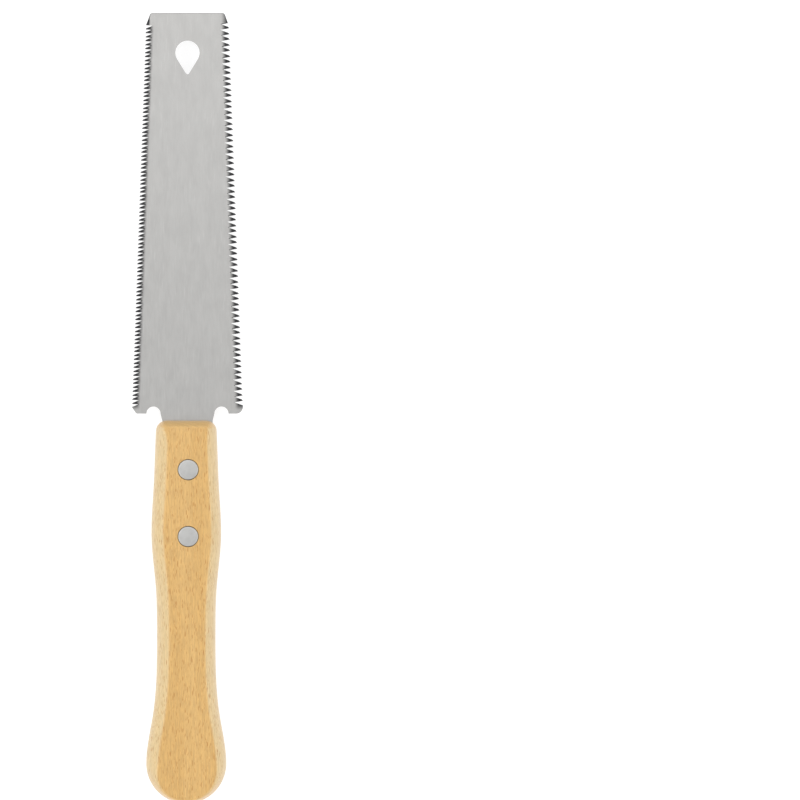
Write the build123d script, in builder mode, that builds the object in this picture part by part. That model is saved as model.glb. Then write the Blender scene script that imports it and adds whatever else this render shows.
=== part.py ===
from build123d import *
import os
from math import radians, sin, tan

os.makedirs("parts", exist_ok=True)

# Small double-edged pull saw, in millimetres. It lies flat: +Y runs to the blade's tip, +X to the
# coarse teeth and +Z up. The origin is under the middle of the whole saw, on the handle's underside.

# ---- Driving dimensions ----
blade_length = 150.2  # tip edge to the bottom of the heel lobes
blade_thickness = 0.5
tip_line = 15.5  # half the distance between the two tooth lines, at the tip edge
heel_line = 20.95  # the same, at the heel
tip_half_width = 13.8  # half of the straight tip edge
tip_corner_radius = 0.9

# Each tooth leans to the handle: a long back, a short facet at the point and a steep front.
# Angles are from square to the blade. Every second tooth is bevelled on the other face, and
# tooth 0 is the solid wedge between the tip edge and the first real tooth.
coarse_teeth = {
    "side": 1,
    "wedge": 3.65,  # tip edge to the point of the wedge
    "wedge_inset": 0.45,  # the wedge's point stands this far inside the tooth line
    "first_up": 0,  # number of the first tooth that is bevelled on the upper face
    "pitch": 25.4 / 12,
    "heel_room": 4.5,  # the last tooth point stays this far from the heel
    "back_angle": 19.6,
    "front_angle": 10.4,
    "point_angle": 51.6,
    "point_depth": 0.45,
    "gullet_width": 0.18,
    "back_bevel": 0.12,
    "front_bevel": 0.25,
    "stagger": 0.065,  # teeth bevelled above stand back by this much, the others forward
}
fine_teeth = {
    "side": -1,
    "wedge": 4.61,
    "wedge_inset": 0.1,
    "first_up": 1,
    "pitch": 25.4 / 17,
    "heel_room": 3.5,
    "back_angle": 22.0,
    "front_angle": 4.0,
    "point_angle": 60.0,
    "point_depth": 0.28,
    "gullet_width": 0.07,
    "back_bevel": 0.12,
    "front_bevel": 0.25,
    "stagger": 0.04,
}

coarse_heel_inset = 0.35  # how far the heel corner stands inside the tooth line, on each side
fine_heel_inset = 1.75
coarse_heel_radius = 2.6
fine_heel_radius = 0.8

hang_radius = 4.55  # teardrop hanging hole: a circle drawn out to a rounded point
hang_point_radius = 0.74
hang_half_angle = 31.5
hang_from_tip = 14.9

notch_radius = 2.65  # round relief notches between the heel lobes and the neck
notch_from_axis = 12.75
neck_half_width = 9.45  # at the handle
neck_length = 2.6  # heel lobes to the handle's front end
tang_length = 52.0
tang_corner_radius = 3.0

handle_length = 143.6
handle_thickness = 18.0
handle_shift = -0.45  # the handle's middle line, from the blade's, towards the coarse side
handle_edge_radius = 3.8
front_half_width = 11.4
front_corner_radius = 4.0
handle_side = [  # share of the way from the front end to the butt, and half width there
    (0.194, 12.25),
    (0.35, 13.0),  # swell over the rear rivet
    (0.482, 11.45),
    (0.622, 10.95),  # waist
    (0.863, 12.6),
]
butt_half_width = 15.0  # also the radius of the round end
side_flare = 0.05  # sideways for each millimetre back, where the side leaves the front corner
kerf_gap = 0.05  # on each face of the tang
kerf_end_gap = 2.0

rivet_shift = 0.4  # the rivets' line, from the blade's middle line, towards the coarse side
rivet_from_front = 18.4
rivet_spacing = 25.0
rivet_head_radius = 3.85
rivet_head_thickness = 1.4
rivet_head_edge_radius = 0.3
rivet_head_recess = 0.08  # the heads finish this far below the wood
rivet_tube_radius = 2.5
rivet_shank_radius = 1.6
rivet_lead_in = 0.4
head_gap = 0.12  # round the head, in its counterbore
tube_gap = 0.08  # round the tube, in the wood and in the tang
shank_gap = 0.02  # between the shank and the tube's bore
rivet_end_gap = 0.6  # left inside the pressed rivet, at the end of the tube and of the shank

# ---- Places worked out from them ----
overall_length = blade_length + neck_length + handle_length
y_tip = overall_length / 2
y_heel = y_tip - blade_length
y_front = y_heel - neck_length
y_end = -overall_length / 2
z_blade = handle_thickness / 2  # middle of the blade's thickness
z_under = z_blade - blade_thickness / 2
z_over = z_blade + blade_thickness / 2
y_rivets = {"front": y_front - rivet_from_front, "rear": y_front - rivet_from_front - rivet_spacing}
rivet_spots = [(rivet_shift, y) for y in y_rivets.values()]
seat_depth = rivet_head_recess + rivet_head_thickness  # counterbores under the rivet heads
z_under_seat = seat_depth
z_over_seat = handle_thickness - seat_depth


def blade_point(side, from_tip, depth):
    """A point at a depth inside one tooth line, at a distance from the tip edge."""
    half_width = tip_line + (heel_line - tip_line) * from_tip / blade_length
    return (side * (half_width - depth), y_tip - from_tip)


def tooth_row(row, on_top):
    """Outline of one toothed edge on one face, from the wedge at the tip to the lobe at the heel."""
    back = tan(radians(row["back_angle"]))
    front = tan(radians(row["front_angle"]))
    point = tan(radians(row["point_angle"]))
    shoulder = row["point_depth"] * (point - back)
    room = blade_length - row["heel_room"] - row["wedge"]
    count = int(room / row["pitch"])
    bevels_up = [number % 2 == row["first_up"] for number in range(count + 1)]
    tips = []
    for number, bevel_up in enumerate(bevels_up):
        shift = row["stagger"] if bevel_up else -row["stagger"]
        tips.append(row["wedge"] + number * row["pitch"] + shift)

    # The wedge's bevel draws its point back along its flank, towards the corner of the tip edge.
    wedge_tip = tips[0] + row["wedge_inset"] * front
    flank_depth = tip_line - tip_half_width - row["wedge_inset"]
    wedge_bevel = row["front_bevel"] if on_top == bevels_up[0] else 0
    share = wedge_bevel / (wedge_tip + flank_depth * front)
    wedge_depth = row["wedge_inset"] + share * flank_depth
    outline = [blade_point(row["side"], (1 - share) * wedge_tip, wedge_depth)]
    for number, tip in enumerate(tips):
        is_last = number == count
        bevelled = on_top == bevels_up[number]
        next_bevelled = not bevelled
        front_inset = row["front_bevel"] if bevelled else 0
        back_inset = row["back_bevel"] if next_bevelled and not is_last else 0
        # The gullet's floor is where the front of this tooth and the back of the next come together.
        spacing = row["pitch"] if is_last else tips[number + 1] - tip
        opening = spacing - shoulder - row["gullet_width"] + front_inset + back_inset
        floor = opening / (back + front)
        floor_start = tip - front_inset + floor * front
        outline.append(blade_point(row["side"], floor_start, floor))
        outline.append(blade_point(row["side"], floor_start + row["gullet_width"], floor))
        if is_last:
            lobe_start = tip + row["pitch"] - shoulder
            outline.append(blade_point(row["side"], lobe_start, 0))
        else:
            next_tip = tips[number + 1]
            next_front_inset = row["front_bevel"] if next_bevelled else 0
            shoulder_depth = row["point_depth"] - back_inset / (point - back)
            point_depth = next_front_inset / (point + front)
            outline.append(blade_point(row["side"], next_tip - shoulder_depth * point, shoulder_depth))
            outline.append(blade_point(row["side"], next_tip - point_depth * point, point_depth))
    return outline


def blade_outline(on_top):
    """The whole toothed plate as one closed outline, without the neck."""
    coarse = tooth_row(coarse_teeth, on_top)
    fine = tooth_row(fine_teeth, on_top)
    tip_edge = [(-tip_half_width, y_tip), (tip_half_width, y_tip)]
    heel_edge = [
        blade_point(1, blade_length, coarse_heel_inset),
        blade_point(-1, blade_length, fine_heel_inset),
    ]
    return tip_edge + coarse + heel_edge + fine[::-1]


def ruled_plate(under, over):
    """A plate between two outlines with matching points, one on each face."""
    under = [(x, y, z_under) for x, y in under]
    over = [(x, y, z_over) for x, y in over]
    sides = []
    for start in range(len(under)):
        end = (start + 1) % len(under)
        corners = [under[start], under[end], over[end], over[start]]
        sides.append(Face(Wire.make_polygon(corners)))
    faces = [Face(Wire.make_polygon(under)), Face(Wire.make_polygon(over))]
    return Solid(Shell(sides + faces))


def heel_end(part):
    """Upright edges at the end of a part that is furthest from the tip, fine side first."""
    return part.edges().filter_by(Axis.Z).group_by(Axis.Y)[0].sort_by(Axis.X)


# ---- Blade: one steel plate with two rows of teeth, a hanging hole and a riveted tang ----
toothed_plate = ruled_plate(blade_outline(False), blade_outline(True))

with BuildPart() as blade:
    add(toothed_plate)
    fillet(blade.edges().filter_by(Axis.Z).group_by(Axis.Y)[-1], tip_corner_radius)
    fillet(heel_end(blade)[-1], coarse_heel_radius)
    fillet(heel_end(blade)[0], fine_heel_radius)

    # The neck narrows from the notches to the handle, and the tang runs on inside the handle.
    with BuildSketch(Plane.XY.offset(z_under)):
        with BuildLine():
            neck_root = notch_from_axis - notch_radius
            y_root = y_heel + notch_radius
            y_tang = y_front - tang_length
            Polyline(
                (0, y_root),
                (neck_root, y_root),
                (neck_root, y_heel),
                (neck_half_width, y_front),
                (neck_half_width, y_tang),
                (0, y_tang),
                close=True,
            )
        make_face()
        mirror(about=Plane.YZ)
    extrude(amount=blade_thickness)
    fillet(heel_end(blade), tang_corner_radius)

    with BuildSketch(Plane.XY.offset(z_under)):
        with Locations((-notch_from_axis, y_heel), (notch_from_axis, y_heel)):
            Circle(notch_radius)
    extrude(amount=blade_thickness, mode=Mode.SUBTRACT)

    hang_length = (hang_radius - hang_point_radius) / sin(radians(hang_half_angle))
    with BuildSketch(Plane.XY.offset(z_under)):
        with Locations((0, y_tip - hang_from_tip)):
            Circle(hang_radius)
        with Locations((0, y_tip - hang_from_tip - hang_length)):
            Circle(hang_point_radius)
        make_hull()
    extrude(amount=blade_thickness, mode=Mode.SUBTRACT)

    with Locations(*[(x, y, z_blade) for x, y in rivet_spots]):
        Hole(rivet_tube_radius + tube_gap)
blade.part.label = "blade"
export_step(blade.part, "parts/blade.step")

# ---- Handle: one piece of beech, slit from the front for the tang ----
y_corner = y_front - front_corner_radius
y_butt = y_end + butt_half_width

with BuildPart() as handle:
    with BuildSketch(Plane((handle_shift, 0, 0))):
        with BuildLine():
            front = Line((0, y_front), (front_half_width - front_corner_radius, y_front))
            corner = RadiusArc(front @ 1, (front_half_width, y_corner), front_corner_radius)
            stations = [(width, y_front + share * (y_butt - y_front)) for share, width in handle_side]
            side = Spline(
                corner @ 1,
                *stations,
                (butt_half_width, y_butt),
                tangents=[(side_flare, -1), (0, -1)],
            )
            butt = RadiusArc(side @ 1, (0, y_end), butt_half_width)
            Line(butt @ 1, front @ 0)
        make_face()
        mirror(about=Plane.YZ)
    extrude(amount=handle_thickness)
    rims = handle.faces().sort_by(Axis.Z)[0].edges() + handle.faces().sort_by(Axis.Z)[-1].edges()
    fillet(rims, handle_edge_radius)

    # The kerf runs out of both sides and of the front end.
    kerf_length = kerf_end_gap + tang_length + neck_length
    kerf_width = 2 * (butt_half_width + abs(handle_shift))
    with BuildSketch(Plane.XY.offset(z_under - kerf_gap)):
        with Locations((0, y_front - tang_length - kerf_end_gap)):
            Rectangle(kerf_width, kerf_length, align=(Align.CENTER, Align.MIN))
    extrude(amount=blade_thickness + 2 * kerf_gap, mode=Mode.SUBTRACT)

    seats_over = [Plane((x, y, handle_thickness)) for x, y in rivet_spots]
    seats_under = [Plane((x, y, 0), x_dir=(1, 0, 0), z_dir=(0, 0, -1)) for x, y in rivet_spots]
    with Locations(*seats_over, *seats_under):
        CounterBoreHole(rivet_tube_radius + tube_gap, rivet_head_radius + head_gap, seat_depth)
handle.part.label = "handle"
export_step(handle.part, "parts/handle.step")

# ---- Rivets: the shank of the upper half is pressed into the tube of the lower half ----
grip = z_over_seat - z_under_seat

for place, y_rivet in y_rivets.items():
    with BuildPart(Plane((rivet_shift, y_rivet, z_over_seat))) as male:
        Cylinder(rivet_shank_radius, grip - rivet_end_gap, align=(Align.CENTER, Align.CENTER, Align.MAX))
        chamfer(male.edges().sort_by(Axis.Z)[0], rivet_lead_in)
        Cylinder(rivet_head_radius, rivet_head_thickness, align=(Align.CENTER, Align.CENTER, Align.MIN))
        fillet(male.edges().sort_by(Axis.Z)[-1], rivet_head_edge_radius)
    male.part.label = f"{place}_rivet_male"
    export_step(male.part, f"parts/{place}_rivet_male.step")

    with BuildPart(Plane((rivet_shift, y_rivet, z_under_seat))) as female:
        Cylinder(rivet_tube_radius, grip - rivet_end_gap, align=(Align.CENTER, Align.CENTER, Align.MIN))
        Hole(rivet_shank_radius + shank_gap)
        Cylinder(rivet_head_radius, rivet_head_thickness, align=(Align.CENTER, Align.CENTER, Align.MAX))
        fillet(female.edges().sort_by(Axis.Z)[0], rivet_head_edge_radius)
    female.part.label = f"{place}_rivet_female"
    export_step(female.part, f"parts/{place}_rivet_female.step")
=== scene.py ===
import math

import bpy
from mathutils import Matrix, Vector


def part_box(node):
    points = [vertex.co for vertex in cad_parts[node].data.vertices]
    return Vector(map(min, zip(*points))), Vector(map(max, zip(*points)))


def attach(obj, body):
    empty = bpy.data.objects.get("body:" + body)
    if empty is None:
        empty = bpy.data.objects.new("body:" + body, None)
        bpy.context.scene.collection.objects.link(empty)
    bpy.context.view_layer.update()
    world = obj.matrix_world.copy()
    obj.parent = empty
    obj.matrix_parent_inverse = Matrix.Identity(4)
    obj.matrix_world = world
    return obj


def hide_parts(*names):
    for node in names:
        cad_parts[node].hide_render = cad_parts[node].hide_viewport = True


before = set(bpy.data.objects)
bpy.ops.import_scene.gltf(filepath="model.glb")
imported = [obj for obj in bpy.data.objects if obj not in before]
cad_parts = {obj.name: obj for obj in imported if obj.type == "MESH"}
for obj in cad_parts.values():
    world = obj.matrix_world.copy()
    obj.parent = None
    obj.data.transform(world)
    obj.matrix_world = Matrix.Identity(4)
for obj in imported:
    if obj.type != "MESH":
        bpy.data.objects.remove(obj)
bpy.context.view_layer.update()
bladeLow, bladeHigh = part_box("blade")
handleLow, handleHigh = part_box("handle")
bladeLevel = (bladeLow.z + bladeHigh.z) / 2
midHeight = (handleLow.z + handleHigh.z) / 2
mm = 0.001
print("frame loaded:", sorted(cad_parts))


# small helpers for modelling by hand

def startClean():
    if bpy.context.object and bpy.context.object.mode == "EDIT":
        bpy.ops.object.mode_set(mode="OBJECT")
    bpy.ops.object.select_all(action="DESELECT")


def activate(piece):
    startClean()
    piece.select_set(True)
    bpy.context.view_layer.objects.active = piece


def selectInEdit(piece, kind, test):
    # picks vertices, edges or faces by a test on them, and leaves the piece in edit mode
    activate(piece)
    bpy.ops.object.mode_set(mode="EDIT")
    bpy.ops.mesh.select_mode(type=kind)
    bpy.ops.mesh.select_all(action="DESELECT")
    bpy.ops.object.mode_set(mode="OBJECT")
    mesh = piece.data
    items = {"VERT": mesh.vertices, "EDGE": mesh.edges, "FACE": mesh.polygons}[kind]
    for item in items:
        item.select = test(item)
    bpy.ops.object.mode_set(mode="EDIT")


def applyModifier(piece, kind, **settings):
    activate(piece)
    modifier = piece.modifiers.new(kind.lower(), kind)
    for key, value in settings.items():
        setattr(modifier, key, value)
    bpy.ops.object.modifier_apply(modifier=modifier.name)


def finishPiece(piece, name, smoothAngle):
    # place and turn go into the mesh, normals outward, smooth apart from real edges
    activate(piece)
    bpy.ops.object.transform_apply(location=True, rotation=True, scale=True)
    bpy.ops.object.mode_set(mode="EDIT")
    bpy.ops.mesh.select_all(action="SELECT")
    bpy.ops.mesh.normals_make_consistent(inside=False)
    bpy.ops.object.mode_set(mode="OBJECT")
    bpy.ops.object.shade_smooth_by_angle(angle=math.radians(smoothAngle))
    piece.name = name
    piece.data.name = name


def turnProfile(centre, profile, steps=96):
    # a round piece drawn up from a disc: each (radius, height) is one extrude and one resize
    x, y = centre
    radius, height = profile[0]
    startClean()
    bpy.ops.mesh.primitive_circle_add(vertices=steps, radius=radius, fill_type="NGON",
                                      location=(x, y, height))
    piece = bpy.context.object
    bpy.ops.object.mode_set(mode="EDIT")
    bpy.ops.mesh.select_all(action="SELECT")
    for nextRadius, nextHeight in profile[1:]:
        rise = {"value": (0, 0, nextHeight - height)}
        bpy.ops.mesh.extrude_region_move(TRANSFORM_OT_translate=rise)
        share = nextRadius / radius
        bpy.ops.transform.resize(value=(share, share, 1), center_override=(x, y, nextHeight))
        radius, height = nextRadius, nextHeight
    bpy.ops.object.mode_set(mode="OBJECT")
    return piece


def smoothStep(value, low, high):
    share = min(max((value - low) / (high - low), 0), 1)
    return share * share * (3 - 2 * share)


# handle: its outline is a slice of the CAD handle, and its full round sides meet the flat faces in
# a softened edge

handle = {
    "sliceHeight": 13 * mm,        # above the kerf, below the CAD handle's own round-over
    "weldDistance": 0.01 * mm,
    "pointSpacing": 0.5 * mm,      # outline points closer than this are merged
    "curveSteps": 4,               # new points between two kept ones
    "fineSideRound": 4.5 * mm,     # how far the round side comes in, up to the flat face,
    "coarseSideRound": 3.3 * mm,   # under the fine teeth and under the coarse ones
    "frontRound": 2.5 * mm,
    "buttRound": 1.1 * mm,
    "frontBlend": 9 * mm,          # it widens over this length from the front end
    "buttBlend": 17 * mm,
    "edgeSoftness": 1.0 * mm,      # sanded on both sides of the edge
    "sideSteps": 9,
    "edgeSteps": 7,
    "kerfGap": 0.05 * mm,          # over and under the tang
    "kerfEndGap": 2.0 * mm,        # behind the tang
    "kerfPast": 5 * mm,            # the cutters run this far past the wood
    "seatPast": 1 * mm,
    "seatRadius": 3.97 * mm,       # counterbores for the rivet heads
    "seatDepth": 1.48 * mm,
    "seatEase": 0.05 * mm,         # sharp edge of the seat taken off
    "boreRadius": 2.58 * mm,
    "smoothAngle": 25,             # degrees: sharper edges than this stay sharp
}


def roundOver(place):
    half = (handleHigh.x - handleLow.x) / 2
    toCoarse = smoothStep(place.x, -half / 2, half / 2)
    side = handle["fineSideRound"] + (handle["coarseSideRound"] - handle["fineSideRound"]) * toCoarse
    fromFront = smoothStep(handleHigh.y - place.y, 0, handle["frontBlend"])
    fromButt = smoothStep(place.y - handleLow.y, 0, handle["buttBlend"])
    lessAtFront = (side - handle["frontRound"]) * (1 - fromFront)
    lessAtButt = (side - handle["buttRound"]) * (1 - fromButt)
    return side - lessAtFront - lessAtButt


def rivetCentre(name):
    low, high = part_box(name)
    return ((low.x + high.x) / 2, (low.y + high.y) / 2)


rivetSpots = {"front": rivetCentre("front_rivet_male"), "rear": rivetCentre("rear_rivet_male")}


def inBore(vertex):
    # takes in each bore's rim, and stays well inside the outline
    return any(math.dist(vertex.co[:2], spot) < 2 * handle["boreRadius"] for spot in rivetSpots.values())


def atMidHeight(face):
    return abs(face.center.z - midHeight) < handle["weldDistance"]


def handleOutline():
    # a slice of the CAD handle, without its bores, redrawn as one smooth closed curve at mid height
    activate(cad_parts["handle"])
    bpy.ops.object.duplicate()
    piece = bpy.context.object
    bpy.ops.object.mode_set(mode="EDIT")
    bpy.ops.mesh.select_all(action="SELECT")
    bpy.ops.mesh.remove_doubles(threshold=handle["weldDistance"])
    bpy.ops.mesh.select_all(action="SELECT")
    level = (0, 0, handle["sliceHeight"])
    bpy.ops.mesh.bisect(plane_co=level, plane_no=(0, 0, 1), clear_inner=True, clear_outer=True)
    selectInEdit(piece, "VERT", inBore)
    bpy.ops.mesh.delete(type="VERT")
    bpy.ops.mesh.select_all(action="SELECT")
    bpy.ops.mesh.remove_doubles(threshold=handle["pointSpacing"])
    bpy.ops.transform.translate(value=(0, 0, midHeight - handle["sliceHeight"]))
    bpy.ops.object.mode_set(mode="OBJECT")
    bpy.ops.object.convert(target="CURVE")
    bpy.ops.object.mode_set(mode="EDIT")
    bpy.ops.curve.select_all(action="SELECT")
    bpy.ops.curve.spline_type_set(type="BEZIER")
    bpy.ops.curve.handle_type_set(type="AUTOMATIC")
    bpy.ops.object.mode_set(mode="OBJECT")
    piece.data.resolution_u = handle["curveSteps"]
    bpy.ops.object.convert(target="MESH")
    return bpy.context.object


def sideProfile(width):
    # from mid height up: one arc of the full round side, then a soft bend onto the flat face,
    # as (how far in, height)
    half = handleHigh.z - midHeight
    radius = (half ** 2 + width ** 2) / (2 * width)
    edgeAngle = math.asin(half / radius) - handle["edgeSoftness"] / radius
    profile = []
    for step in range(1, handle["sideSteps"] + 1):
        angle = edgeAngle * step / handle["sideSteps"]
        profile.append((radius * (1 - math.cos(angle)), midHeight + radius * math.sin(angle)))
    startIn, startHeight = profile[-1]
    cornerIn = startIn + (handleHigh.z - startHeight) * math.tan(edgeAngle)
    endIn = width + handle["edgeSoftness"]
    for step in range(1, handle["edgeSteps"] + 1):
        share = step / handle["edgeSteps"]
        inward = (1 - share) ** 2 * startIn + 2 * share * (1 - share) * cornerIn + share ** 2 * endIn
        profile.append((inward, handleHigh.z - (1 - share) ** 2 * (handleHigh.z - startHeight)))
    return profile


def sideRings(points):
    # the outline carried up the profile, each point at right angles to its own stretch of side
    count = len(points)
    area = sum(points[i - 1].x * points[i].y - points[i].x * points[i - 1].y for i in range(count))
    turn = 1 if area > 0 else -1
    columns = []
    for i, point in enumerate(points):
        along = (points[(i + 1) % count] - points[i - 1]).normalized()
        profile = sideProfile(roundOver(point))
        columns.append([(point.x - turn * along.y * inward, point.y + turn * along.x * inward, height)
                        for inward, height in profile])
    return list(zip(*columns))


def shapeHandle():
    piece = handleOutline()
    points = [vertex.co.copy() for vertex in piece.data.vertices]
    bpy.ops.object.mode_set(mode="EDIT")
    bpy.ops.mesh.select_all(action="SELECT")
    bpy.ops.mesh.edge_face_add()
    for ring in sideRings(points):
        bpy.ops.mesh.extrude_region_move()
        bpy.ops.object.mode_set(mode="OBJECT")
        lifted = [vertex for vertex in piece.data.vertices if vertex.select]
        for vertex, place in zip(lifted, ring):
            vertex.co = place
        bpy.ops.object.mode_set(mode="EDIT")

    # the face left at mid height goes, and the lower half is the upper one mirrored
    selectInEdit(piece, "FACE", atMidHeight)
    bpy.ops.mesh.delete(type="ONLY_FACE")
    bpy.ops.object.mode_set(mode="OBJECT")
    bpy.context.scene.cursor.location = (0, 0, midHeight)
    bpy.ops.object.origin_set(type="ORIGIN_CURSOR")
    applyModifier(piece, "MIRROR", use_axis=(False, False, True))
    return piece


def cutAway(piece, cutter):
    applyModifier(piece, "BOOLEAN", object=cutter, operation="DIFFERENCE", solver="EXACT")
    bpy.data.objects.remove(cutter)


def kerfCutter():
    # a thin saw cut from past the front end to just behind the tang
    back = bladeLow.y - handle["kerfEndGap"]
    front = handleHigh.y + handle["kerfPast"]
    thickness = bladeHigh.z - bladeLow.z + 2 * handle["kerfGap"]
    startClean()
    bpy.ops.mesh.primitive_cube_add(size=1, location=(0, (back + front) / 2, bladeLevel),
                                    scale=(2 * (handleHigh.x - handleLow.x), front - back, thickness))
    return bpy.context.object


def seatCutter(centre):
    # one spool cuts both counterbores, with their eased rims, and the bore between them
    seat, bore, ease = handle["seatRadius"], handle["boreRadius"], handle["seatEase"]
    floorUnder = handleLow.z + handle["seatDepth"]
    floorOver = handleHigh.z - handle["seatDepth"]
    past = handle["seatPast"]
    return turnProfile(centre, [
        (seat + ease + past, handleLow.z - past),
        (seat, handleLow.z + ease),
        (seat, floorUnder),
        (bore, floorUnder),
        (bore, floorOver),
        (seat, floorOver),
        (seat, handleHigh.z - ease),
        (seat + ease + past, handleHigh.z + past),
    ])


def makeHandle():
    piece = shapeHandle()
    cutAway(piece, kerfCutter())
    for spot in rivetSpots.values():
        cutAway(piece, seatCutter(spot))
    finishPiece(piece, "beechHandle", handle["smoothAngle"])
    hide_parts("handle")
    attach(piece, "root")
    return piece


handlePiece = makeHandle()
print("handle shaped:", len(handlePiece.data.polygons), "faces")


# rivets: the upper half's shank is pressed into the lower half's tube

rivet = {
    "headRadius": 3.85 * mm,
    "headThickness": 1.4 * mm,
    "crown": 0.10 * mm,            # the head is this much lower at its rim than in the middle
    "rimRadius": 0.35 * mm,
    "shankRadius": 1.6 * mm,
    "tubeRadius": 2.5 * mm,
    "boreRadius": 1.62 * mm,
    "leadIn": 0.4 * mm,
    "tubeLeadIn": 0.15 * mm,
    "rimSteps": 6,
    "crownSteps": 5,
    "smoothAngle": 35,             # degrees
}


def headProfile(shoulder, outward):
    # from the shoulder out round the rim and in over the crown, as (radius, height)
    top = shoulder + outward * rivet["headThickness"]
    flatRadius = rivet["headRadius"] - rivet["rimRadius"]
    rimTop = rivet["headThickness"] - rivet["crown"]
    profile = [(rivet["headRadius"], shoulder)]
    for step in range(rivet["rimSteps"] + 1):
        angle = math.pi / 2 * step / rivet["rimSteps"]
        radius = flatRadius + rivet["rimRadius"] * math.cos(angle)
        rise = rimTop - rivet["rimRadius"] * (1 - math.sin(angle))
        profile.append((radius, shoulder + outward * rise))
    for step in range(1, rivet["crownSteps"] + 1):
        share = 1 - step / (rivet["crownSteps"] + 1)
        drop = rivet["crown"] * share * share
        profile.append((flatRadius * share, top - outward * drop))
    return profile


def makeMale(name, centre):
    low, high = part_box(name)
    shoulder = high.z - rivet["headThickness"]
    shank = [
        (rivet["shankRadius"] - rivet["leadIn"], low.z),
        (rivet["shankRadius"], low.z + rivet["leadIn"]),
        (rivet["shankRadius"], shoulder),
    ]
    return turnProfile(centre, shank + headProfile(shoulder, 1))


def makeFemale(name, centre):
    low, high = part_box(name)
    shoulder = low.z + rivet["headThickness"]
    bored = [
        (rivet["boreRadius"], shoulder),
        (rivet["boreRadius"], high.z - rivet["tubeLeadIn"]),
        (rivet["boreRadius"] + rivet["tubeLeadIn"], high.z),
        (rivet["tubeRadius"] - rivet["tubeLeadIn"], high.z),
        (rivet["tubeRadius"], high.z - rivet["tubeLeadIn"]),
        (rivet["tubeRadius"], shoulder),
    ]
    return turnProfile(centre, bored + headProfile(shoulder, -1))


def makeRivets():
    made = []
    for place, centre in rivetSpots.items():
        for half, make in (("male", makeMale), ("female", makeFemale)):
            node = f"{place}_rivet_{half}"
            piece = make(node, centre)
            finishPiece(piece, f"{place}Rivet{half.capitalize()}", rivet["smoothAngle"])
            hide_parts(node)
            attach(piece, "root")
            made.append(piece)
    return made


rivetPieces = makeRivets()
print("rivets turned:", len(rivetPieces))


# helpers for materials

def newMaterial(name):
    material = bpy.data.materials.new(name)
    material.use_nodes = True
    return material, material.node_tree, material.node_tree.nodes["Principled BSDF"]


def plug(tree, node, inputs):
    for key, value in inputs.items():
        if isinstance(value, bpy.types.NodeSocket):
            tree.links.new(value, node.inputs[key])
        else:
            node.inputs[key].default_value = value


def addNode(tree, kind, inputs, **settings):
    node = tree.nodes.new(kind)
    for key, value in settings.items():
        setattr(node, key, value)
    plug(tree, node, inputs)
    return node


def calc(tree, operation, *values):
    return addNode(tree, "ShaderNodeMath", dict(enumerate(values)), operation=operation).outputs[0]


def objectPlace(tree):
    coords = tree.nodes.new("ShaderNodeTexCoord").outputs["Object"]
    return coords, addNode(tree, "ShaderNodeSeparateXYZ", {"Vector": coords}).outputs


def stretched(tree, coords, grain):
    # object coordinates counted in grains: how long one grain is along X, Y and Z
    scale = [1 / size for size in grain]
    return addNode(tree, "ShaderNodeMapping", {"Vector": coords, "Scale": scale}).outputs[0]


def noise(tree, coords, grain, detail, roughness=0.5):
    inputs = {
        "Vector": stretched(tree, coords, grain),
        "Scale": 1.0,
        "Detail": detail,
        "Roughness": roughness,
    }
    return addNode(tree, "ShaderNodeTexNoise", inputs).outputs["Fac"]


def ramp(tree, value, low, high, toLow=0.0, toHigh=1.0):
    inputs = {"Value": value, "From Min": low, "From Max": high, "To Min": toLow, "To Max": toHigh}
    return addNode(tree, "ShaderNodeMapRange", inputs, interpolation_type="SMOOTHSTEP").outputs[0]


def dashes(tree, coords, grain, least, most):
    # short marks along the grain: each cell holds one, and its strength is drawn between least and most
    vector = stretched(tree, coords, grain)
    warp = noise(tree, coords, [3 * size for size in grain], 1.0)
    shifted = addNode(tree, "ShaderNodeVectorMath", {0: vector, 1: warp}, operation="ADD").outputs[0]
    cells = addNode(tree, "ShaderNodeTexVoronoi", {"Vector": shifted, "Scale": 1.0, "Randomness": 1.0})
    mark = ramp(tree, cells.outputs["Distance"], 0.22, 0.34, 1.0, 0.0)
    lot = addNode(tree, "ShaderNodeSeparateColor", {"Color": cells.outputs["Color"]}).outputs[0]
    return calc(tree, "MULTIPLY", mark, ramp(tree, lot, least, 1.0, 0.0, most))


def mixColour(tree, factor, first, second):
    node = tree.nodes.new("ShaderNodeMix")
    node.data_type = "RGBA"
    plug(tree, node, {0: factor, 6: first, 7: second})
    return node.outputs[2]


def scaleColour(tree, colour, factor):
    inputs = {0: colour, "Scale": factor}
    return addNode(tree, "ShaderNodeVectorMath", inputs, operation="SCALE").outputs[0]


def bump(tree, shader, height, depth, strength):
    node = addNode(tree, "ShaderNodeBump", {"Height": height, "Distance": depth, "Strength": strength})
    tree.links.new(node.outputs[0], shader.inputs["Normal"])


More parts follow.
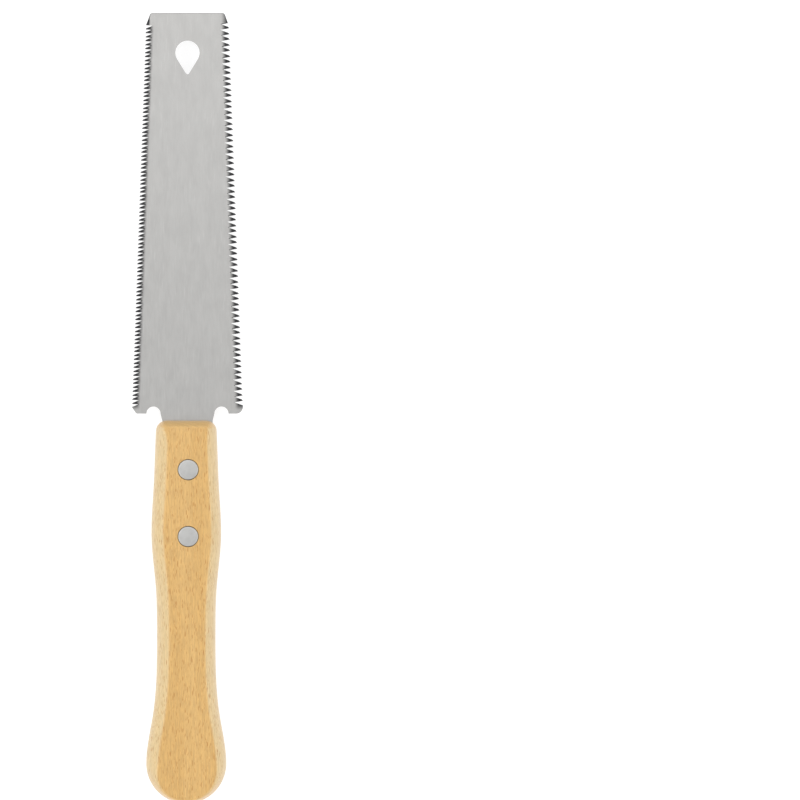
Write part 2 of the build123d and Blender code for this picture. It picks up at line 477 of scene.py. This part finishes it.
steel = {
    "plate": (0.39, 0.386, 0.378, 1),
    "hardened": (0.036, 0.036, 0.038, 1),
    "cutEdge": (0.15, 0.15, 0.148, 1),
    "roughness": 0.33,
    "brushGrain": (0.16 * mm, 2.6 * mm, 4 * mm),    # how long one mark is along X, Y and Z
    "streakGrain": (0.6 * mm, 8 * mm, 9 * mm),
    "cloudGrain": (3.5 * mm, 9 * mm, 9 * mm),
    "scratchGrain": (0.42 * mm, 7 * mm, 9 * mm),
    "wanderGrain": (9 * mm, 2.2 * mm, 9 * mm),
    "faintMark": 0.60,             # brush marks run from this strength
    "strongMark": 1.10,            # to this
    "brushDepth": 0.008 * mm,
    "scratchGain": 0.09,           # how much lighter the brightest scratch is
    "lineAtTip": 15.5 * mm,        # half the distance between the two tooth lines
    "lineAtHeel": 20.95 * mm,
    "plateLength": 150.2 * mm,
    "bandDark": 1.55 * mm,         # hardened teeth: dark this far in from the tooth line
    "bandEnd": 3.3 * mm,
    "bandWander": 0.7 * mm,
    "wedgeInset": 1.7 * mm,        # the wedges at the tip slant in this far
    "wedgeSlant": 0.345,
    "wedgeLength": 4.27 * mm,
    "wedgeSkew": 0.028,            # and end further from the tip on the fine side
    "wedgeStart": 0.7 * mm,        # the dark edge of a wedge grows from here,
    "wedgeTop": 0.06,              # from this share of the band's depth
    "fineWedgeFoot": 0.52,         # to these shares at its end
    "coarseWedgeFoot": 0.28,
    "wedgeTint": 0.77,             # the coarse row also has a tint along its tooth line
    "tintStart": 1.1 * mm,
    "tintEnd": 3.2 * mm,
    "heelLight": 1.0 * mm,         # the dark bands fade out between these distances from the heel
    "heelDark": 3.6 * mm,
    "burr": 0.24 * mm,             # sheared line along the tip edge
}


def brushedSteel():
    material, tree, shader = newMaterial("brushedSteel")
    coords, place = objectPlace(tree)
    facing = tree.nodes.new("ShaderNodeNewGeometry").outputs["True Normal"]
    facingUp = addNode(tree, "ShaderNodeSeparateXYZ", {"Vector": facing}).outputs[2]
    upright = calc(tree, "ABSOLUTE", facingUp)
    flat = ramp(tree, upright, 0.90, 0.98)
    slanted = ramp(tree, upright, 0.10, 0.30)

    # brush marks run lengthwise, with a slow cloudiness under them and brighter single scratches
    fine = noise(tree, coords, steel["brushGrain"], 2.0, 0.6)
    streaks = noise(tree, coords, steel["streakGrain"], 1.0)
    cloud = noise(tree, coords, steel["cloudGrain"], 3.0)
    marks = calc(tree, "MULTIPLY_ADD", streaks, 0.7, fine)
    shade = ramp(tree, marks, steel["faintMark"], steel["strongMark"], 0.965, 1.025)
    shade = calc(tree, "MULTIPLY", shade, ramp(tree, cloud, 0.3, 0.7, 0.97, 1.025))
    scratches = dashes(tree, coords, steel["scratchGrain"], 0.45, 1.0)
    shade = calc(tree, "MULTIPLY_ADD", scratches, steel["scratchGain"], shade)
    plate = scaleColour(tree, steel["plate"][:3], shade)

    # hardened teeth: how far a point is inside its tooth line, and how far from the tip
    fromTip = calc(tree, "SUBTRACT", bladeHigh.y, place[1])
    slope = (steel["lineAtHeel"] - steel["lineAtTip"]) / steel["plateLength"]
    toothLine = calc(tree, "MULTIPLY_ADD", fromTip, slope, steel["lineAtTip"])
    inside = calc(tree, "SUBTRACT", toothLine, calc(tree, "ABSOLUTE", place[0]))
    uneven = noise(tree, coords, steel["wanderGrain"], 2.0)
    wander = calc(tree, "MULTIPLY", calc(tree, "SUBTRACT", uneven, 0.5), steel["bandWander"])
    inside = calc(tree, "ADD", inside, wander)
    slantIn = calc(tree, "MULTIPLY_ADD", fromTip, -steel["wedgeSlant"], steel["wedgeInset"])
    fromSlant = calc(tree, "SUBTRACT", inside, calc(tree, "MAXIMUM", slantIn, 0.0))
    pastWedge = calc(tree, "MULTIPLY_ADD", place[0], steel["wedgeSkew"], fromTip)
    wedgeEnd = steel["wedgeLength"]
    foot = ramp(tree, place[0], 0.0, steel["lineAtTip"], steel["fineWedgeFoot"], steel["coarseWedgeFoot"])
    reach = ramp(tree, pastWedge, steel["wedgeStart"], wedgeEnd, steel["wedgeTop"], foot)
    reach = calc(tree, "MAXIMUM", reach, ramp(tree, pastWedge, 0.98 * wedgeEnd, 1.02 * wedgeEnd))
    depthIn = calc(tree, "DIVIDE", fromSlant, reach)
    band = ramp(tree, depthIn, steel["bandDark"], steel["bandEnd"], 1.0, 0.0)
    tint = ramp(tree, inside, steel["tintStart"], steel["tintEnd"], steel["wedgeTint"], 0.0)
    tint = calc(tree, "MULTIPLY", tint, ramp(tree, place[0], 0.0, steel["lineAtTip"]))
    band = calc(tree, "MAXIMUM", band, tint)
    heel = steel["plateLength"]
    toHeel = ramp(tree, fromTip, heel - steel["heelDark"], heel - steel["heelLight"], 1.0, 0.0)
    band = calc(tree, "MULTIPLY", band, toHeel)
    colour = mixColour(tree, band, plate, steel["hardened"])

    # ground bevels, sheared edges, and the line that shearing leaves along the tip
    darkWall = calc(tree, "MAXIMUM", band, slanted)
    wallColour = mixColour(tree, darkWall, steel["cutEdge"], steel["hardened"])
    colour = mixColour(tree, flat, wallColour, colour)
    sheared = ramp(tree, fromTip, 0.5 * steel["burr"], steel["burr"], 0.8, 0.0)
    colour = mixColour(tree, sheared, colour, steel["cutEdge"])

    rough = ramp(tree, marks, steel["faintMark"], steel["strongMark"],
                 steel["roughness"] - 0.04, steel["roughness"] + 0.05)
    plug(tree, shader, {"Base Color": colour, "Roughness": rough, "Metallic": 1.0})
    bump(tree, shader, marks, steel["brushDepth"], 0.2)
    return material


beech = {
    "face": (0.492, 0.288, 0.080, 1),
    "light": (0.520, 0.314, 0.097, 1),
    "fleck": (0.33, 0.130, 0.006, 1),
    "paintedSideSheen": (0.548, 0.400, 0.190, 1),    # painted sheen: the round sides are painted paler and less saturated, standing in for the bright surroundings they reflect
    "endGrain": (0.56, 0.348, 0.118, 1),
    "bandGrain": (4 * mm, 80 * mm, 4 * mm),
    "fibreGrain": (0.33 * mm, 3.6 * mm, 0.33 * mm),
    "longFleckGrain": (0.46 * mm, 3.6 * mm, 0.5 * mm),
    "shortFleckGrain": (0.32 * mm, 2.2 * mm, 0.4 * mm),
    "poreGrain": (0.25 * mm, 0.8 * mm, 0.25 * mm),
    "grainDepth": 0.02 * mm,
    "heartX": 55 * mm,             # the growth rings' centre
    "heartZ": -70 * mm,
    "ringSpacing": 0.9 * mm,
    "roughness": 0.5,
    "varnish": 0.6,
    "varnishRoughness": 0.32,
    "varnishIOR": 1.5,
}


def varnishedBeech():
    material, tree, shader = newMaterial("varnishedBeech")
    coords, place = objectPlace(tree)
    facing = tree.nodes.new("ShaderNodeNewGeometry").outputs["Normal"]
    across, along, _ = addNode(tree, "ShaderNodeSeparateXYZ", {"Vector": facing}).outputs

    # slow bands of colour, then fine fibres
    bands = noise(tree, coords, beech["bandGrain"], 2.0)
    fibres = noise(tree, coords, beech["fibreGrain"], 3.0, 0.6)
    colour = mixColour(tree, ramp(tree, bands, 0.35, 0.65), beech["face"], beech["light"])
    # painted sheen: the more a surface turns sideways, the more it is painted towards the paler side
    # colour, in place of the light it would reflect
    paintedSheenAmount = ramp(tree, calc(tree, "ABSOLUTE", across), 0.12, 0.55)
    colour = mixColour(tree, paintedSheenAmount, colour, beech["paintedSideSheen"])
    colour = scaleColour(tree, colour, ramp(tree, fibres, 0.3, 0.7, 0.87, 1.11))

    # dark ray flecks along the grain, longer ones and shorter ones
    longFlecks = dashes(tree, coords, beech["longFleckGrain"], 0.40, 0.95)
    shortFlecks = dashes(tree, coords, beech["shortFleckGrain"], 0.25, 0.85)
    flecks = calc(tree, "MAXIMUM", longFlecks, shortFlecks)
    colour = mixColour(tree, flecks, colour, beech["fleck"])

    # at the ends the cut crosses the grain: pores, and growth rings round a heart outside the piece
    pores = noise(tree, coords, beech["poreGrain"], 2.0)
    fromHeart = calc(tree, "SQRT", calc(tree, "ADD",
                     calc(tree, "POWER", calc(tree, "SUBTRACT", place[0], beech["heartX"]), 2.0),
                     calc(tree, "POWER", calc(tree, "SUBTRACT", place[2], beech["heartZ"]), 2.0)))
    rings = addNode(tree, "ShaderNodeTexNoise", {
        "W": calc(tree, "DIVIDE", fromHeart, beech["ringSpacing"]), "Scale": 1.0, "Detail": 1.0,
    }, noise_dimensions="1D").outputs["Fac"]
    endColour = scaleColour(tree, beech["endGrain"][:3], ramp(tree, pores, 0.35, 0.65, 0.90, 1.08))
    endColour = scaleColour(tree, endColour, ramp(tree, rings, 0.35, 0.65, 0.90, 1.05))
    endAmount = ramp(tree, calc(tree, "ABSOLUTE", along), 0.10, 0.85)
    colour = mixColour(tree, endAmount, colour, endColour)

    rough = ramp(tree, fibres, 0.3, 0.7, beech["roughness"] + 0.06, beech["roughness"] - 0.04)
    plug(tree, shader, {
        "Base Color": colour,
        "Roughness": rough,
        "Coat Weight": beech["varnish"],
        "Coat Roughness": beech["varnishRoughness"],
        "Coat IOR": beech["varnishIOR"],
    })
    bump(tree, shader, calc(tree, "SUBTRACT", fibres, flecks), beech["grainDepth"], 0.25)
    return material


rivetMetal = {
    "colour": (0.44, 0.44, 0.432, 1),
    "roughness": 0.34,
    "grain": (0.12 * mm, 0.12 * mm, 0.12 * mm),
    "cloudGrain": (2.2 * mm, 2.2 * mm, 2.2 * mm),
    "grainDepth": 0.01 * mm,
}


def satinAluminium():
    material, tree, shader = newMaterial("satinAluminium")
    coords, _ = objectPlace(tree)
    grain = noise(tree, coords, rivetMetal["grain"], 3.0, 0.6)
    cloud = noise(tree, coords, rivetMetal["cloudGrain"], 1.0)
    shade = ramp(tree, calc(tree, "MULTIPLY_ADD", grain, 0.5, cloud), 0.55, 0.95, 0.955, 1.025)
    rough = ramp(tree, grain, 0.3, 0.7, rivetMetal["roughness"] - 0.05, rivetMetal["roughness"] + 0.07)
    plug(tree, shader, {
        "Base Color": scaleColour(tree, rivetMetal["colour"][:3], shade),
        "Roughness": rough,
        "Metallic": 1.0,
    })
    bump(tree, shader, grain, rivetMetal["grainDepth"], 0.15)
    return material


def dress(piece, material):
    piece.data.materials.clear()
    piece.data.materials.append(material)


dress(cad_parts["blade"], brushedSteel())
dress(handlePiece, varnishedBeech())
aluminium = satinAluminium()
for piece in rivetPieces:
    dress(piece, aluminium)
print("materials made")


# floor, light and camera

studio = {
    "floorSize": 8.0,
    "floorDrop": 0.2 * mm,         # keeps the floor out of the handle's underside
    "floorColour": (0.35, 0.35, 0.35, 1),
    "floorGlow": 0.75,
    "overhead": 1.00,              # sky strengths, as seen from the saw
    "endwise": 0.60,
    "panels": 1.9,                 # tall soft panels at its left and right
    "leftGain": 1.10,
    "horizonEnds": 1.5,
    "horizonSides": 1.02,
    "ceilingSpread": (0.10, 0.55),      # where each light part of the sky fades, by its direction
    "leftFade": (-0.34, -0.22),
    "rightFade": (0.26, 0.40),
    "horizonFade": (0.30, 0.50),
    "horizonSpread": (0.2, 0.9),
    "tipBoxPower": 0.6,
    "tipBoxSize": 0.5,
    "tipBoxPlace": (0.0, 0.34, 0.9),
}


def layFloor():
    floorLevel = handleLow.z - studio["floorDrop"]
    startClean()
    bpy.ops.mesh.primitive_plane_add(size=studio["floorSize"], location=(0, 0, floorLevel))
    floor = bpy.context.object
    floor.name = "floor"
    material, tree, shader = newMaterial("paleFloor")
    plug(tree, shader, {
        "Base Color": studio["floorColour"],
        "Roughness": 0.9,
        "Specular IOR Level": 0.0,
        "Emission Color": (1, 1, 1, 1),
        "Emission Strength": studio["floorGlow"],
    })
    floor.data.materials.append(material)


def lightSky():
    # a white tent: a soft ceiling, brighter panels on both sides, and a bright band at the horizon
    world = bpy.data.worlds.new("studioTent")
    world.use_nodes = True
    tree = world.node_tree
    direction = tree.nodes.new("ShaderNodeTexCoord").outputs["Generated"]
    x, y, z = addNode(tree, "ShaderNodeSeparateXYZ", {"Vector": direction}).outputs
    endways = calc(tree, "ABSOLUTE", y)
    ceiling = ramp(tree, endways, *studio["ceilingSpread"], studio["overhead"], studio["endwise"])
    left = ramp(tree, x, *studio["leftFade"], studio["panels"] * studio["leftGain"], 0.0)
    right = ramp(tree, x, *studio["rightFade"], 0.0, studio["panels"])
    panels = calc(tree, "MAXIMUM", left, right)
    strength = calc(tree, "MAXIMUM", ceiling, panels)
    low = ramp(tree, z, *studio["horizonFade"], 1.0, 0.0)
    sideways = calc(tree, "ABSOLUTE", x)
    horizon = ramp(tree, sideways, *studio["horizonSpread"],
                   studio["horizonEnds"], studio["horizonSides"])
    toHorizon = calc(tree, "SUBTRACT", horizon, strength)
    strength = calc(tree, "MULTIPLY_ADD", toHorizon, low, strength)
    plug(tree, tree.nodes["Background"], {"Color": (1, 1, 1, 1), "Strength": strength})
    bpy.context.scene.world = world


def hangTipBox():
    # a softbox above and beyond the tip, so that the plate dims a little towards the handle
    light = bpy.data.lights.new("tipSoftbox", "AREA")
    light.energy = studio["tipBoxPower"]
    light.size = studio["tipBoxSize"]
    box = bpy.data.objects.new("tipSoftbox", light)
    bpy.context.scene.collection.objects.link(box)
    box.location = studio["tipBoxPlace"]


cameraView = {
    "width": 0.300,                # what the frame spans at the blade
    "distance": 5.0,
    "centreX": 0.0797,             # the saw stands left of the middle
    "centreY": 0.0031,
    "sensor": 36.0,
    "clipEnd": 20,
}


def setCamera():
    data = bpy.data.cameras.new("camera")
    data.sensor_width = cameraView["sensor"]
    data.lens = cameraView["sensor"] * cameraView["distance"] / cameraView["width"]
    data.clip_end = cameraView["clipEnd"]
    camera = bpy.data.objects.new("camera", data)
    bpy.context.scene.collection.objects.link(camera)
    camera.location = (cameraView["centreX"], cameraView["centreY"], bladeLevel + cameraView["distance"])
    bpy.context.scene.camera = camera
    bpy.context.scene.view_settings.view_transform = "Standard"


layFloor()
lightSky()
hangTipBox()
setCamera()
print("stage, light and camera set")
